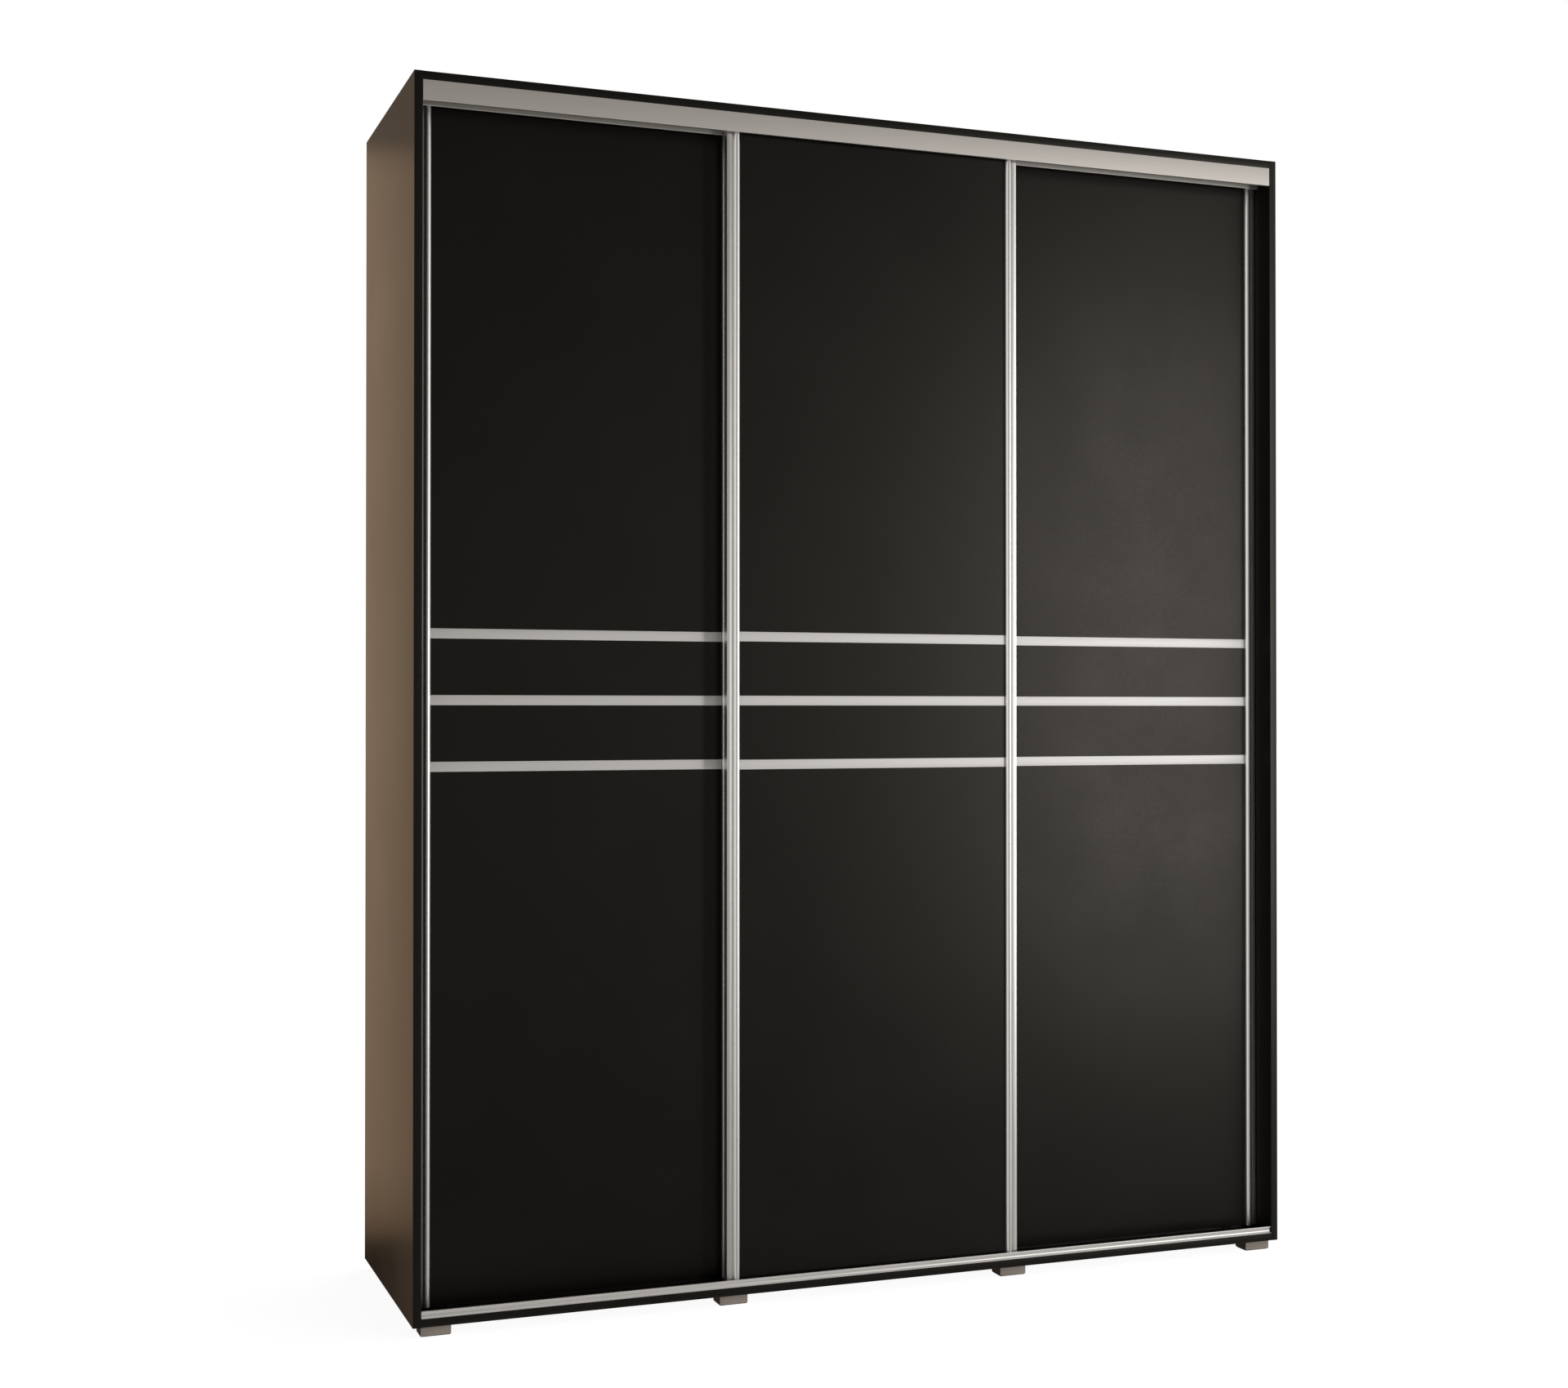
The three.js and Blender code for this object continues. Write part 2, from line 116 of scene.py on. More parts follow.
def add_panel_light(name, place, target, size, radiance, colour):
    """A rectangular soft box, size wide and high. radiance is its brightness as seen in a mirror."""
    data = bpy.data.lights.new(name, "AREA")
    data.shape = "RECTANGLE"
    data.size, data.size_y = size
    data.color = colour
    data.energy = radiance * math.pi * size[0] * size[1]
    light = bpy.data.objects.new(name, data)
    bpy.context.scene.collection.objects.link(light)
    light.location = place
    light.rotation_euler = (Vector(target) - Vector(place)).to_track_quat("-Z", "Y").to_euler()
    light.visible_camera = False


def room_ramp(tree, height, stops):
    """The room's colour by height. height runs from 0 at the nadir to 1 at the zenith."""
    ramp = tree.nodes.new("ShaderNodeValToRGB")
    elements = ramp.color_ramp.elements
    while len(elements) < len(stops):
        elements.new(1)
    for element, (z, colour) in zip(elements, stops):
        element.position = (z + 1) / 2
        element.color = (*colour, 1)
    tree.links.new(height, ramp.inputs["Fac"])
    return ramp.outputs["Color"]


def blend_colours(tree, factor, a, b):
    """Goes from a to b with the factor. Each is a colour or a socket that gives one."""
    mix = tree.nodes.new("ShaderNodeMix")
    mix.data_type = "RGBA"
    tree.links.new(factor, mix.inputs["Factor"])
    for name, value in (("A", a), ("B", b)):
        if isinstance(value, tuple):
            mix.inputs[name].default_value = (*value, 1)
        else:
            tree.links.new(value, mix.inputs[name])
    return mix.outputs["Result"]


def add_world():
    """White to the camera. Matt surfaces are lit from the right, and reflections see a room's four sides."""
    world = bpy.data.worlds.new("studio")
    bpy.context.scene.world = world
    world.use_nodes = True
    world.cycles.sampling_method = "NONE"
    tree = world.node_tree
    path = tree.nodes.new("ShaderNodeLightPath")
    place = tree.nodes.new("ShaderNodeTexCoord")
    split = tree.nodes.new("ShaderNodeSeparateXYZ")
    tree.links.new(place.outputs["Generated"], split.inputs["Vector"])
    x, y, z = (split.outputs[axis] for axis in "XYZ")
    height = map_range(tree, z, -1, 1, 0, 1)
    front, back, left, right = (room_ramp(tree, height, stops)
                                for stops in (FRONT_ROOM, BACK_ROOM, LEFT_ROOM, RIGHT_ROOM))
    back = blend_colours(tree, map_range(tree, x, *BACK_LEFT_FROM_X, 0, 1), back, BACK_LEFT_CORNER)
    room = blend_colours(tree, map_range(tree, x, *LEFT_FROM_X, 0, 1), front, left)
    room = blend_colours(tree, map_range(tree, y, *BACK_FROM_Y, 0, 1), room, back)
    room = blend_colours(tree, map_range(tree, x, *RIGHT_FROM_X, 0, 1), room, right)
    from_right = map_range(tree, x, 0, 0.5, 0, 1)
    lit = blend_colours(tree, from_right, (0.06, 0.06, 0.06), (2, 2, 2))
    seen = blend_colours(tree, path.outputs["Is Diffuse Ray"], (1, 1, 1), lit)
    seen = blend_colours(tree, path.outputs["Is Glossy Ray"], seen, room)
    tree.links.new(seen, tree.nodes["Background"].inputs["Color"])


def add_floor():
    """A floor that glows almost white, so that only a faint shadow shows on it."""
    material = bpy.data.materials.new("pale_floor")
    material.use_nodes = True
    shader = material.node_tree.nodes["Principled BSDF"]
    shader.inputs["Base Color"].default_value = (0.12, 0.12, 0.12, 1)
    shader.inputs["Roughness"].default_value = 0.9
    shader.inputs["Emission Color"].default_value = (1, 1, 1, 1)
    shader.inputs["Emission Strength"].default_value = 0.94
    reach = 60
    corners = [(-reach, -reach, 0), (reach, -reach, 0), (reach, reach, 0), (-reach, reach, 0)]
    mesh = bpy.data.meshes.new("floor")
    mesh.from_pydata(corners, [], [(0, 1, 2, 3)])
    mesh.materials.append(material)
    floor = bpy.data.objects.new("floor", mesh)
    bpy.context.scene.collection.objects.link(floor)
    floor.visible_glossy = False
    floor.visible_diffuse = False


def add_lights():
    """A tall narrow key to the front right, with a dimmer one above it, for the doors' highlight."""
    pale = (1.0, 0.985, 0.965)
    add_panel_light("key", (2.95, -4.1, 1.36), (0.7, -0.25, 1.3), (0.7, 2.65), 6.8, pale)
    add_panel_light("key_upper", (2.95, -4.1, 3.2), (0.7, -0.25, 1.5), (0.7, 1.0), 0.9, pale)


# ---------------------------------------------------------------- materials
BLACK = (0.0013, 0.0011, 0.0009)
BLACK_LIGHT = (0.0024, 0.0021, 0.0017)
ALU_DARK = (0.73, 0.722, 0.712)
ALU_LIGHT = (0.82, 0.812, 0.80)
STRIP_DARK = (0.65, 0.643, 0.634)
STRIP_LIGHT = (0.73, 0.723, 0.712)
FASCIA_DARK = (0.53, 0.505, 0.478)
FASCIA_LIGHT = (0.59, 0.567, 0.54)
# The part of its 0 to 1 range in which a noise value nearly always lies.
NOISE_SPAN = (0.3, 0.7)
# Noise scales that draw fine lines out along X and along Z.
LINES_X = (6, 1500, 1500)
LINES_Z = (1500, 1500, 6)


def node_material(name, roughness, metallic=0.0):
    material = bpy.data.materials.new(name)
    material.use_nodes = True
    shader = material.node_tree.nodes["Principled BSDF"]
    shader.inputs["Roughness"].default_value = roughness
    shader.inputs["Metallic"].default_value = metallic
    return material, material.node_tree, shader


def grain(tree, scale, detail=3.0):
    """Noise fixed to the piece, with scale features to a metre along X, Y and Z, from 0 to 1."""
    place = tree.nodes.new("ShaderNodeTexCoord")
    stretch = tree.nodes.new("ShaderNodeMapping")
    stretch.inputs["Scale"].default_value = scale
    noise = tree.nodes.new("ShaderNodeTexNoise")
    noise.inputs["Scale"].default_value = 1
    noise.inputs["Detail"].default_value = detail
    tree.links.new(place.outputs["Object"], stretch.inputs["Vector"])
    tree.links.new(stretch.outputs["Vector"], noise.inputs["Vector"])
    return noise.outputs["Fac"]


def map_range(tree, value, from_low, from_high, to_low, to_high):
    ramp = tree.nodes.new("ShaderNodeMapRange")
    ramp.inputs["From Min"].default_value = from_low
    ramp.inputs["From Max"].default_value = from_high
    ramp.inputs["To Min"].default_value = to_low
    ramp.inputs["To Max"].default_value = to_high
    tree.links.new(value, ramp.inputs["Value"])
    return ramp.outputs["Result"]


def spread(tree, value, low, high, socket):
    """Maps the usual span of a noise value to a range and feeds it to a socket."""
    tree.links.new(map_range(tree, value, *NOISE_SPAN, low, high), socket)


def two_tone(tree, value, dark, light, socket):
    tree.links.new(blend_colours(tree, value, dark, light), socket)


def bump(tree, value, depth, shader, strength):
    node = tree.nodes.new("ShaderNodeBump")
    node.inputs["Distance"].default_value = depth
    node.inputs["Strength"].default_value = strength
    tree.links.new(value, node.inputs["Height"])
    tree.links.new(node.outputs["Normal"], shader.inputs["Normal"])


def laminate(name, roughness, pore_depth, sparkle, specular=0.3, light=BLACK_LIGHT):
    """Black melamine: fine pressed pores, a sparkle in its sheen, and slow changes over a board."""
    material, tree, shader = node_material(name, roughness)
    shader.inputs["Specular IOR Level"].default_value = specular
    shader.inputs["Specular Tint"].default_value = (1.0, 0.93, 0.84, 1)
    pores = grain(tree, (1100, 1100, 1100), 2.0)
    two_tone(tree, pores, BLACK, light, shader.inputs["Base Color"])
    slow = grain(tree, (5, 5, 5), 4.0)
    cloud = map_range(tree, slow, *NOISE_SPAN, roughness - 0.015, roughness + 0.03)
    fine = map_range(tree, grain(tree, (320, 320, 320), 2.0), *NOISE_SPAN, -sparkle, sparkle)
    total = tree.nodes.new("ShaderNodeMath")
    tree.links.new(cloud, total.inputs[0])
    tree.links.new(fine, total.inputs[1])
    tree.links.new(total.outputs["Value"], shader.inputs["Roughness"])
    bump(tree, pores, pore_depth, shader, 0.35)
    return material


def brushed(name, scale, dark, light, roughness):
    """Metal with fine lines, drawn out along the axis that has the smallest scale."""
    material, tree, shader = node_material(name, roughness, 1.0)
    lines = grain(tree, scale)
    two_tone(tree, lines, dark, light, shader.inputs["Base Color"])
    spread(tree, lines, roughness - 0.04, roughness + 0.05, shader.inputs["Roughness"])
    bump(tree, lines, 0.01 * MM, shader, 0.25)
    return material


def moulded(name, dark, light, roughness, scale=(700, 700, 700)):
    """Plastic with a slight mottle in its tone and sheen."""
    material, tree, shader = node_material(name, roughness)
    shader.inputs["Specular IOR Level"].default_value = 0.12
    mottle = grain(tree, scale, 4.0)
    two_tone(tree, mottle, dark, light, shader.inputs["Base Color"])
    spread(tree, mottle, roughness - 0.05, roughness + 0.08, shader.inputs["Roughness"])
    bump(tree, mottle, 0.03 * MM, shader, 0.5)
    return material


def hardboard():
    """Dark lacquered fibreboard, mottled and coarser than the laminate."""
    material, tree, shader = node_material("hardboard", 0.55)
    fibres = grain(tree, (260, 260, 90), 6.0)
    two_tone(tree, fibres, (0.020, 0.016, 0.013), (0.045, 0.037, 0.030), shader.inputs["Base Color"])
    spread(tree, fibres, 0.48, 0.66, shader.inputs["Roughness"])
    bump(tree, fibres, 0.08 * MM, shader, 0.6)
    return material


def track_with_painted_shade():
    """The bottom track: satin on its lip, and painted dark on the floor behind the lip as painted shade."""
    material, tree, shader = node_material("aluminium_bottom_track", 0.42, 1.0)
    lip_back = CAD_BOX[0][1] + 6.5 * MM
    fade = 4 * MM
    lines = grain(tree, LINES_X)
    place = tree.nodes.new("ShaderNodeTexCoord")
    split = tree.nodes.new("ShaderNodeSeparateXYZ")
    tree.links.new(place.outputs["Object"], split.inputs["Vector"])
    # Painted shade: the floor behind the lip is painted dark, fading in over 4 mm from the back of the lip.
    shade = map_range(tree, split.outputs["Y"], lip_back, lip_back + fade, 0, 1)
    bare_aluminium = blend_colours(tree, lines, ALU_DARK, ALU_LIGHT)
    painted_shade_colour = blend_colours(tree, shade, bare_aluminium, (0.07, 0.066, 0.06))
    tree.links.new(painted_shade_colour, shader.inputs["Base Color"])
    spread(tree, lines, 0.38, 0.46, shader.inputs["Roughness"])
    bump(tree, lines, 0.01 * MM, shader, 0.25)
    return material


DOOR_LAMINATE = laminate("door_laminate", 0.32, pore_depth=0.012 * MM, sparkle=0.02)
BOARD_LAMINATE = laminate("board_laminate", 0.50, pore_depth=0.05 * MM, sparkle=0.04, specular=0.15)
OUTER_LAMINATE = laminate("outer_laminate", 0.07, pore_depth=0.01 * MM, sparkle=0.04)
EDGE_BAND = laminate("edge_band", 0.32, pore_depth=0.01 * MM, sparkle=0.01, light=(0.004, 0.0035, 0.003))
HARDBOARD = hardboard()
ALU_UP = brushed("aluminium_upright", LINES_Z, ALU_DARK, ALU_LIGHT, 0.34)
ALU_ALONG = brushed("aluminium_lengthwise", LINES_X, STRIP_DARK, STRIP_LIGHT, 0.52)
ALU_FASCIA = brushed("aluminium_top_track", LINES_X, FASCIA_DARK, FASCIA_LIGHT, 0.50)
ALU_TRACK = track_with_painted_shade()
FOOT_PLASTIC = moulded("foot_plastic", (0.20, 0.17, 0.142), (0.30, 0.258, 0.218), 0.5, (24, 24, 900))
NYLON = moulded("nylon", (0.020, 0.019, 0.018), (0.032, 0.031, 0.030), 0.42)
BLACKENED = brushed("blackened_steel", (300, 300, 300), (0.02, 0.02, 0.02), (0.035, 0.034, 0.033), 0.45)
STEEL = brushed("zinc_plated_steel", (300, 300, 300), (0.50, 0.51, 0.52), (0.60, 0.61, 0.62), 0.34)
CHROME = brushed("chrome", (40, 40, 40), (0.60, 0.61, 0.62), (0.66, 0.67, 0.68), 0.20)
DARK_PLASTIC = moulded("dark_plastic", (0.012, 0.011, 0.010), (0.018, 0.017, 0.016), 0.45)


# ---------------------------------------------------------------- mesh helpers
def link_mesh(name, bm, material, body, smooth_angle=30, bevel=0.0):
    """Makes the piece, eases its sharp edges by bevel, and puts it on its body."""
    mesh = bpy.data.meshes.new(name)
    bmesh.ops.recalc_face_normals(bm, faces=bm.faces)
    bm.to_mesh(mesh)
    bm.free()
    mesh.materials.append(material)
    mesh.polygons.foreach_set("use_smooth", [True] * len(mesh.polygons))
    mesh.set_sharp_from_angle(angle=math.radians(smooth_angle))
    piece = bpy.data.objects.new(name, mesh)
    bpy.context.scene.collection.objects.link(piece)
    if bevel:
        ease = piece.modifiers.new("eased_edges", "BEVEL")
        ease.width = bevel
        ease.segments = 2
        ease.limit_method = "ANGLE"
        ease.angle_limit = math.radians(40)
    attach(piece, body)
    return piece


def add_block(bm, low, high):
    """Adds a box between two opposite corners."""
    made = bmesh.ops.create_cube(bm, size=1)["verts"]
    size = Vector(high) - Vector(low)
    middle = (Vector(high) + Vector(low)) / 2
    for vertex in made:
        vertex.co = Vector(a * b for a, b in zip(vertex.co, size)) + middle


def extrude(bm, loops, axis, start, end):
    """Adds a section with holes, drawn along X (section in Y and Z) or along Z (section in X and Y)."""
    ends = ([], [])
    for loop in loops:
        rings = []
        for t, edges in ((start, ends[0]), (end, ends[1])):
            ring = [bm.verts.new((t, a, b) if axis == "X" else (a, b, t)) for a, b in loop]
            edges += [bm.edges.new((ring[i - 1], ring[i])) for i in range(len(ring))]
            rings.append(ring)
        for i in range(len(loop)):
            bm.faces.new((rings[0][i - 1], rings[0][i], rings[1][i], rings[1][i - 1]))
    for edges in ends:
        bmesh.ops.triangle_fill(bm, use_beauty=True, edges=edges)


def lathe(bm, profile, centre, axis, steps=32):
    """Adds a (radius, height) profile turned about an axis. It ends on the axis or closes on itself."""
    rings = []
    for radius, height in profile:
        ring = []
        for i in range(steps if radius else 1):
            angle = 2 * math.pi * i / steps
            a, b = radius * math.cos(angle), radius * math.sin(angle)
            offset = {"X": (height, a, b), "Y": (a, height, b), "Z": (a, b, height)}[axis]
            ring.append(bm.verts.new(Vector(centre) + Vector(offset)))
        rings.append(ring)
    pairs = list(zip(rings, rings[1:]))
    if profile[0][0] and profile[-1][0]:
        pairs.append((rings[-1], rings[0]))
    for a, b in pairs:
        for i in range(steps):
            k = (i + 1) % steps
            corners = (a[i % len(a)], a[k % len(a)], b[k % len(b)], b[i % len(b)])
            bm.faces.new(list(dict.fromkeys(corners)))


def head(radius, height):
    """The profile of a screw head with a driver recess. A negative height turns it the other way."""
    return [(0, -height * 0.5), (radius, -height * 0.5), (radius, height * 0.4),
            (radius * 0.8, height * 0.85), (radius * 0.42, height), (radius * 0.34, height * 0.3),
            (0, height * 0.2)]


def add_heads(name, centres, axis, radius, height, material, body, steps=20):
    """A set of equal screw or nail heads as one piece."""
    bm = bmesh.new()
    for centre in centres:
        lathe(bm, head(radius, height), centre, axis, steps)
    link_mesh(name, bm, material, body)


def arc(centre, radii, start, end, steps):
    """Points on an elliptical arc, with angles in degrees."""
    angles = [math.radians(start + (end - start) * i / steps) for i in range(steps + 1)]
    return [(centre[0] + radii[0] * math.cos(a), centre[1] + radii[1] * math.sin(a)) for a in angles]


def oval(centre, width, height):
    """An upright oval: two half circles joined by straight sides."""
    r = width / 2
    straight = height / 2 - r
    return (arc((centre[0], centre[1] + straight), (r, r), 0, 180, 20)
            + arc((centre[0], centre[1] - straight), (r, r), 180, 360, 20))


def round_rectangle(low, high, radius):
    centres = ((high[0] - radius, high[1] - radius, 0), (low[0] + radius, high[1] - radius, 90),
               (low[0] + radius, low[1] + radius, 180), (high[0] - radius, low[1] + radius, 270))
    points = []
    for x, y, start in centres:
        points += arc((x, y), (radius, radius), start, start + 90, 5)
    return points


# ---------------------------------------------------------------- carcass
def add_board(node, along):
    """A laminated board, with a rounded band along X or Z on its front edge. Returns the board."""
    low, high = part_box(node)
    band = 1.0 * MM
    bm = bmesh.new()
    add_block(bm, (low.x, low.y + band, low.z), high)
    board = link_mesh(f"{node}_board", bm, BOARD_LAMINATE, "carcass", bevel=0.25 * MM)
    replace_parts(board, node)
    radius = 0.85 * MM
    if along == "Z":
        a0, a1, start, end = low.x, high.x, low.z, high.z
    else:
        a0, a1, start, end = low.z, high.z, low.x, high.x
    nose = (arc((a0 + radius, low.y + radius), (radius, radius), 180, 270, 5)
            + arc((a1 - radius, low.y + radius), (radius, radius), 270, 360, 5))
    section = [(a0, low.y + band)] + nose + [(a1, low.y + band)]
    if along == "X":
        section = [(y, z) for z, y in section]
    bm = bmesh.new()
    extrude(bm, [section], along, start, end)
    link_mesh(f"{node}_edge_band", bm, EDGE_BAND, "carcass")
    return board


def add_back_nails():
    """Nail heads round the rim of the hardboard back and down its lines over the partitions."""
    low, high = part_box("back_panel")
    inset = 7 * MM
    spacing = 130 * MM
    beside_fold = 4 * MM
    centres = []
    count = round((high.z - low.z) / spacing)
    uprights = [low.x + inset, high.x - inset]
    for side in ("left", "right"):
        partition_low, partition_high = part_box(f"partition_{side}")
        uprights.append((partition_low.x + partition_high.x) / 2 + beside_fold)
    pitch = (high.z - low.z - 4 * inset) / count
    for x in uprights:
        centres += [(x, high.y, low.z + 2 * inset + pitch * i) for i in range(count + 1)]
    count = round((high.x - low.x) / spacing)
    for z in (low.z + inset, high.z - inset):
        centres += [(low.x + (high.x - low.x) * i / count, high.y, z) for i in range(1, count)]
    add_heads("back_panel_nails", centres, "Y", 1.8 * MM, 0.5 * MM, STEEL, "carcass", 12)


def add_foot(node):
    """A block foot with rounded corners, on a thin plastic glide."""
    low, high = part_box(node)
    glide = 1.5 * MM
    bm = bmesh.new()
    outline = round_rectangle((low.x, low.y), (high.x, high.y), 1.2 * MM)
    extrude(bm, [outline], "Z", low.z + glide, high.z)
    block = link_mesh(f"{node}_block", bm, FOOT_PLASTIC, "carcass", 25, bevel=0.5 * MM)
    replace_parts(block, node)
    inset = 1.5 * MM
    bm = bmesh.new()
    pad = round_rectangle((low.x + inset, low.y + inset), (high.x - inset, high.y - inset), 2 * MM)
    extrude(bm, [pad], "Z", low.z, low.z + glide)
    link_mesh(f"{node}_glide", bm, DARK_PLASTIC, "carcass")


def add_shelf_pins(node):
    """Four steel pins that stand out of the partitions, under a loose shelf."""
    low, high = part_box(node)
    radius = 2.5 * MM
    collar = 1.5 * radius
    reach = 9 * MM
    wall_gap = 1 * MM
    inset = 37 * MM
    bm = bmesh.new()
    for x, sign in ((low.x - wall_gap, 1), (high.x + wall_gap, -1)):
        for y in (low.y + inset, high.y - inset):
            profile = [(0, 0), (collar, 0), (collar, sign * 1.2 * MM), (radius, sign * 1.6 * MM),
                       (radius, sign * (reach - 0.5 * MM)), (radius * 0.8, sign * reach),
                       (0, sign * reach)]
            lathe(bm, profile, (x, y, low.z - collar), "X", 20)
    link_mesh(f"{node}_pins", bm, STEEL, "carcass")


def add_cam_covers(node, facing, inset_front):
    """Cover caps of the cam fittings near both ends of a fixed board. facing is 1 for its upper face."""
    low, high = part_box(node)
    z = high.z if facing > 0 else low.z
    thickness = 0.9 * MM
    inset_end = 34 * MM
    inset_back = 60 * MM
    profile = [(0, 0), (8.5 * MM, 0), (8.5 * MM, facing * 0.5 * thickness),
               (7.6 * MM, facing * thickness), (2.5 * MM, facing * thickness),
               (2 * MM, facing * 0.6 * thickness), (0, facing * 0.6 * thickness)]
    bm = bmesh.new()
    for x in (low.x + inset_end, high.x - inset_end):
        for y in (low.y + inset_front, high.y - inset_back):
            lathe(bm, profile, (x, y, z), "Z")
    link_mesh(f"{node}_cam_covers", bm, DARK_PLASTIC, "carcass")


def add_hanging_rail(node):
    """An oval chrome tube held in an end socket at each side, with the sockets' screws."""
    low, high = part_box(node)
    middle = ((low.y + high.y) / 2, (low.z + high.z) / 2)
    tube_depth = 15 * MM
    tube_height = 30 * MM
    wall = 1.2 * MM
    flange = 2.5 * MM
    collar = 8 * MM
    screw_offset = 18.6 * MM
    bm = bmesh.new()
    bore = oval(middle, tube_depth - 2 * wall, tube_height - 2 * wall)
    extrude(bm, [oval(middle, tube_depth, tube_height), bore], "X", low.x, high.x)
    tube = link_mesh(f"{node}_tube", bm, CHROME, "carcass")
    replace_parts(tube, node)
    for side, wall_x, sign in (("left", low.x, 1), ("right", high.x, -1)):
        hole = oval(middle, tube_depth + 0.1 * MM, tube_height + 0.1 * MM)
        base = oval(middle, high.y - low.y, high.z - low.z)
        lip = oval(middle, tube_depth + 5 * MM, tube_height + 5 * MM)
        bm = bmesh.new()
        extrude(bm, [base, hole], "X", wall_x, wall_x + sign * flange)
        extrude(bm, [lip, hole], "X", wall_x + sign * flange, wall_x + sign * collar)
        link_mesh(f"{node}_socket_{side}", bm, CHROME, "carcass", bevel=0.5 * MM)
        places = [(wall_x + sign * flange, middle[0], middle[1] + step * screw_offset) for step in (-1, 1)]
        add_heads(f"{node}_socket_{side}_screws", places, "X", 2.2 * MM, sign * 1.2 * MM, STEEL, "carcass")


# ---------------------------------------------------------------- tracks
FASCIA_DEPTH = 6.4 * MM
WEB_FRONT = 44 * MM
WEB_BACK = 48.4 * MM
WEB_RISE = 2.5 * MM
TRACK_WALL = 1.6 * MM
RAIL_DEPTHS = (27.2 * MM, 69.2 * MM)
RAIL_HALF = 1.5 * MM


def add_top_track():
    """Boxed fascia, boxed middle web and rear web under a plate, with its screws in the two channels."""
    low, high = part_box("top_track")
    ease = 0.7 * MM
    top_ease = 0.3 * MM
    web_bottom = low.z + WEB_RISE
    under = high.z - TRACK_WALL
    rear = high.y - TRACK_WALL
    y = low.y
    section = (arc((y + ease, low.z + ease), (ease, ease), 180, 270, 4)
               + arc((y + FASCIA_DEPTH - ease, low.z + ease), (ease, ease), 270, 360, 4)
               + [(y + FASCIA_DEPTH, under), (y + WEB_FRONT, under)]
               + arc((y + WEB_FRONT + ease, web_bottom + ease), (ease, ease), 180, 270, 4)
               + arc((y + WEB_BACK - ease, web_bottom + ease), (ease, ease), 270, 360, 4)
               + [(y + WEB_BACK, under), (rear, under), (rear, web_bottom), (high.y, web_bottom)]
               + [(high.y, high.z), (y + top_ease, high.z), (y, high.z - top_ease)])

    def hollow(front, back, bottom):
        inner = TRACK_WALL
        return [(y + front + inner, bottom + inner), (y + back - inner, bottom + inner),
                (y + back - inner, under), (y + front + inner, under)]

    bm = bmesh.new()
    extrude(bm, [section, hollow(0, FASCIA_DEPTH, low.z), hollow(WEB_FRONT, WEB_BACK, web_bottom)], "X",
            low.x, high.x)
    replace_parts(link_mesh("top_track_profile", bm, ALU_FASCIA, "carcass", 25), "top_track")
    channels = ((FASCIA_DEPTH + WEB_FRONT) / 2, (WEB_BACK + high.y - low.y) / 2)
    places = track_screw_places(low, high, channels, under)
    add_heads("top_track_screws", places, "Z", 4 * MM, -1.4 * MM, STEEL, "carcass")


def track_screw_places(low, high, channels, z):
    """Evenly spaced places along each channel. channels are depths behind the track's front."""
    count = 6
    pitch = (high.x - low.x) / count
    xs = [low.x + pitch * (i + 0.5) for i in range(count)]
    return [(x, low.y + depth, z) for depth in channels for x in xs]


def add_bottom_track():
    """A coved lip with a bead on top, and two rails on a thin base, with screws and end stops."""
    low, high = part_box("bottom_track")
    base = 1.5 * MM
    rail_top = 4.5 * MM
    corner = 0.5 * MM
    foot, neck, cove_top, face_top = 0.8 * MM, 4.4 * MM, 6 * MM, 10.8 * MM
    front, back, top = 2.4 * MM, 6.2 * MM, high.z - low.z
    rear_lip = 8 * MM

    def rail(centre):
        return ([(centre - RAIL_HALF, base)]
                + arc((centre - RAIL_HALF + corner, rail_top - corner), (corner, corner), 180, 90, 4)
                + arc((centre + RAIL_HALF - corner, rail_top - corner), (corner, corner), 90, 0, 4)
                + [(centre + RAIL_HALF, base)])

    profile = [(0, 0)] + arc((0, cove_top), (neck, cove_top - foot), -90, 0, 12)
    profile += [(neck - 0.6 * MM, face_top), (neck - 1.2 * MM, face_top + 0.3 * MM)]
    profile += [(front, face_top + 0.8 * MM)]
    profile += arc((front + corner, top - corner), (corner, corner), 180, 90, 4)
    profile += arc((back - corner, top - corner), (corner, corner), 90, 0, 4)
    profile += [(back, base)] + rail(RAIL_DEPTHS[0]) + rail(RAIL_DEPTHS[1])
    rear = high.y - low.y
    profile += [(rear - TRACK_WALL, base), (rear - TRACK_WALL, rear_lip), (rear, rear_lip), (rear, 0)]
    bm = bmesh.new()
    extrude(bm, [[(low.y + a, low.z + b) for a, b in profile]], "X", low.x, high.x)
    track = link_mesh("bottom_track_profile", bm, ALU_TRACK, "carcass", 25)
    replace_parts(track, "bottom_track")
    channels = ((back + RAIL_DEPTHS[0]) / 2, (RAIL_DEPTHS[0] + RAIL_DEPTHS[1]) / 2)
    places = track_screw_places(low, high, channels, low.z + base)
    add_heads("bottom_track_screws", places, "Z", 3.6 * MM, 1.2 * MM, BLACKENED, "carcass")
    for row, depth in zip(("front", "rear"), RAIL_DEPTHS):
        for side, sign in SIDES:
            add_rail_stop(f"rail_stop_{row}_{side}", sign, low.y + depth, low.z + base, low.z + rail_top)


